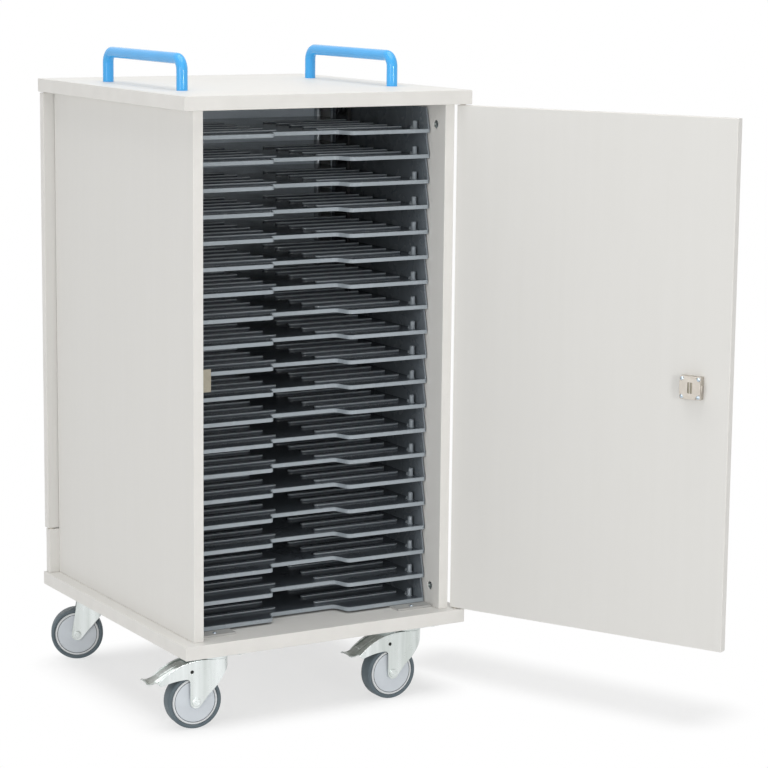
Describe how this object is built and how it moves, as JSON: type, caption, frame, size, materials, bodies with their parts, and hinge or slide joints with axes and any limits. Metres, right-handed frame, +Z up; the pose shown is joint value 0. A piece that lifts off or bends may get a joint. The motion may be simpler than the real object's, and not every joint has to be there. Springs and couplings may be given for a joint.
{
  "type": "laptop charging cart",
  "caption": "Upright white board cabinet on swivel casters, with a pivoting door front and rear, a stack of moulded laptop trays and tube handles on top, for storing and charging laptops.",
  "frame": {"origin": "on the floor, below the middle of the cabinet's base panel", "axes": "+Z up, -Y out of the front door's opening, +X towards the front door's pivots"},
  "size_m": [0.8599, 1.1025, 1.185],
  "materials": {
    "board": "white melamine-faced board with white edging, satin",
    "door_board": "white melamine-faced board with white edging, satin",
    "tray_plastic": "moulded dark grey plastic with a low sheen",
    "blue_paint": "light blue gloss powder coat on steel tube",
    "zinc": "bright zinc-plated pressed steel",
    "pedal_zinc": "zinc-plated pressed steel, duller than the forks",
    "hub_plastic": "light grey moulded wheel centre",
    "tyre_rubber": "blue-grey non-marking rubber",
    "nickel": "nickel-plated, slightly warm, satin",
    "strike_bronze": "brownish bronze-plated steel",
    "runner_paint": "light grey coated steel strip",
    "black_plastic": "black moulded plastic"
  },
  "bodies": {
    "cabinet": {"base_panel": "board", "top_panel": "board", "left_side_panel": "board", "right_side_panel": "board", "rear_lower_panel": "board", "front_pivot_bottom": "zinc", "front_pivot_top": "zinc", "rear_pivot_bottom": "zinc", "rear_pivot_top": "zinc", "strike_plate": "strike_bronze", "mains_inlet": "black_plastic", "power_strip": "black_plastic", "handle_left": "blue_paint", "handle_right": "blue_paint", "tray_runner_left": "runner_paint", "tray_runner_right": "runner_paint", "tray_01": "tray_plastic", "tray_02": "tray_plastic", "tray_03": "tray_plastic", "tray_04": "tray_plastic", "tray_05": "tray_plastic", "tray_06": "tray_plastic", "tray_07": "tray_plastic", "tray_08": "tray_plastic", "tray_09": "tray_plastic", "tray_10": "tray_plastic", "tray_11": "tray_plastic", "tray_12": "tray_plastic", "tray_13": "tray_plastic", "tray_14": "tray_plastic", "tray_15": "tray_plastic", "tray_16": "tray_plastic", "tray_17": "tray_plastic", "tray_18": "tray_plastic", "tray_19": "tray_plastic", "tray_20": "tray_plastic", "caster_plate_front_left": "zinc", "caster_plate_front_right": "zinc", "caster_plate_rear_left": "zinc", "caster_plate_rear_right": "zinc"},
    "front_door": {"front_door": "door_board", "lock_case": "nickel"},
    "key_cylinder": {"key_cylinder": "nickel"},
    "lock_bolt": {"lock_bolt": "nickel"},
    "rear_door": {"rear_door": "door_board"},
    "rear_lock_cam": {"rear_lock_cam": "nickel"},
    "swivel_front_left": {"caster_fork_front_left": "zinc"},
    "wheel_front_left": {"caster_hub_front_left": "hub_plastic", "caster_tyre_front_left": "tyre_rubber"},
    "swivel_front_right": {"caster_fork_front_right": "zinc"},
    "wheel_front_right": {"caster_hub_front_right": "hub_plastic", "caster_tyre_front_right": "tyre_rubber"},
    "swivel_rear_left": {"caster_fork_rear_left": "zinc"},
    "wheel_rear_left": {"caster_hub_rear_left": "hub_plastic", "caster_tyre_rear_left": "tyre_rubber"},
    "swivel_rear_right": {"caster_fork_rear_right": "zinc"},
    "wheel_rear_right": {"caster_hub_rear_right": "hub_plastic", "caster_tyre_rear_right": "tyre_rubber"},
    "pedal_front_left": {"brake_pedal_front_left": "pedal_zinc"},
    "pedal_front_right": {"brake_pedal_front_right": "pedal_zinc"}
  },
  "joints": [
    {"name": "front_door_hinge", "type": "hinge", "parent": "cabinet", "child": "front_door", "pos_m": [0.273, -0.303, 0.631], "axis": [0, 0, 1], "range_deg": [-117, 153]},
    {"name": "front_key_turn", "type": "hinge", "parent": "front_door", "child": "key_cylinder", "pos_m": [0.48751, -0.724, 0.63], "axis": [-0.891, -0.454, 0], "range_deg": [0, 90]},
    {"name": "lock_bolt_slide", "type": "slide", "parent": "front_door", "child": "lock_bolt", "axis": [0.454, -0.891, 0], "range_m": [0, 0.011]},
    {"name": "rear_door_hinge", "type": "hinge", "parent": "cabinet", "child": "rear_door", "pos_m": [-0.273, 0.303, 0.674], "axis": [0, 0, 1], "range_deg": [0, 270]},
    {"name": "rear_cam_turn", "type": "hinge", "parent": "rear_door", "child": "rear_lock_cam", "pos_m": [0.219, 0.303, 0.674], "axis": [0, -1, 0], "range_deg": [0, 90]},
    {"name": "swivel_front_left", "type": "hinge", "parent": "cabinet", "child": "swivel_front_left", "pos_m": [-0.2, -0.251, 0.126], "axis": [0, 0, 1], "continuous": true},
    {"name": "roll_front_left", "type": "hinge", "parent": "swivel_front_left", "child": "wheel_front_left", "pos_m": [-0.23978, -0.24682, 0.05], "axis": [-0.1045, -0.9945, 0], "continuous": true},
    {"name": "brake_front_left", "type": "hinge", "parent": "swivel_front_left", "child": "pedal_front_left", "pos_m": [-0.24724, -0.24604, 0.106], "axis": [-0.1045, -0.9945, 0], "range_deg": [0, 10]},
    {"name": "swivel_front_right", "type": "hinge", "parent": "cabinet", "child": "swivel_front_right", "pos_m": [0.2, -0.251, 0.126], "axis": [0, 0, 1], "continuous": true},
    {"name": "roll_front_right", "type": "hinge", "parent": "swivel_front_right", "child": "wheel_front_right", "pos_m": [0.16, -0.251, 0.05], "axis": [0, -1, 0], "continuous": true},
    {"name": "brake_front_right", "type": "hinge", "parent": "swivel_front_right", "child": "pedal_front_right", "pos_m": [0.1525, -0.251, 0.106], "axis": [0, -1, 0], "range_deg": [0, 10]},
    {"name": "swivel_rear_left", "type": "hinge", "parent": "cabinet", "child": "swivel_rear_left", "pos_m": [-0.2, 0.251, 0.126], "axis": [0, 0, 1], "continuous": true},
    {"name": "roll_rear_left", "type": "hinge", "parent": "swivel_rear_left", "child": "wheel_rear_left", "pos_m": [-0.23682, 0.26663, 0.05], "axis": [-0.3907, -0.9205, 0], "continuous": true},
    {"name": "swivel_rear_right", "type": "hinge", "parent": "cabinet", "child": "swivel_rear_right", "pos_m": [0.2, 0.251, 0.126], "axis": [0, 0, 1], "continuous": true},
    {"name": "roll_rear_right", "type": "hinge", "parent": "swivel_rear_right", "child": "wheel_rear_right", "pos_m": [0.16291, 0.26598, 0.05], "axis": [-0.3746, -0.9272, 0], "continuous": true}
  ],
  "couplings": [
    {"joint": "lock_bolt_slide", "follows": "front_key_turn", "m_per_rad": 0.007}
  ]
}
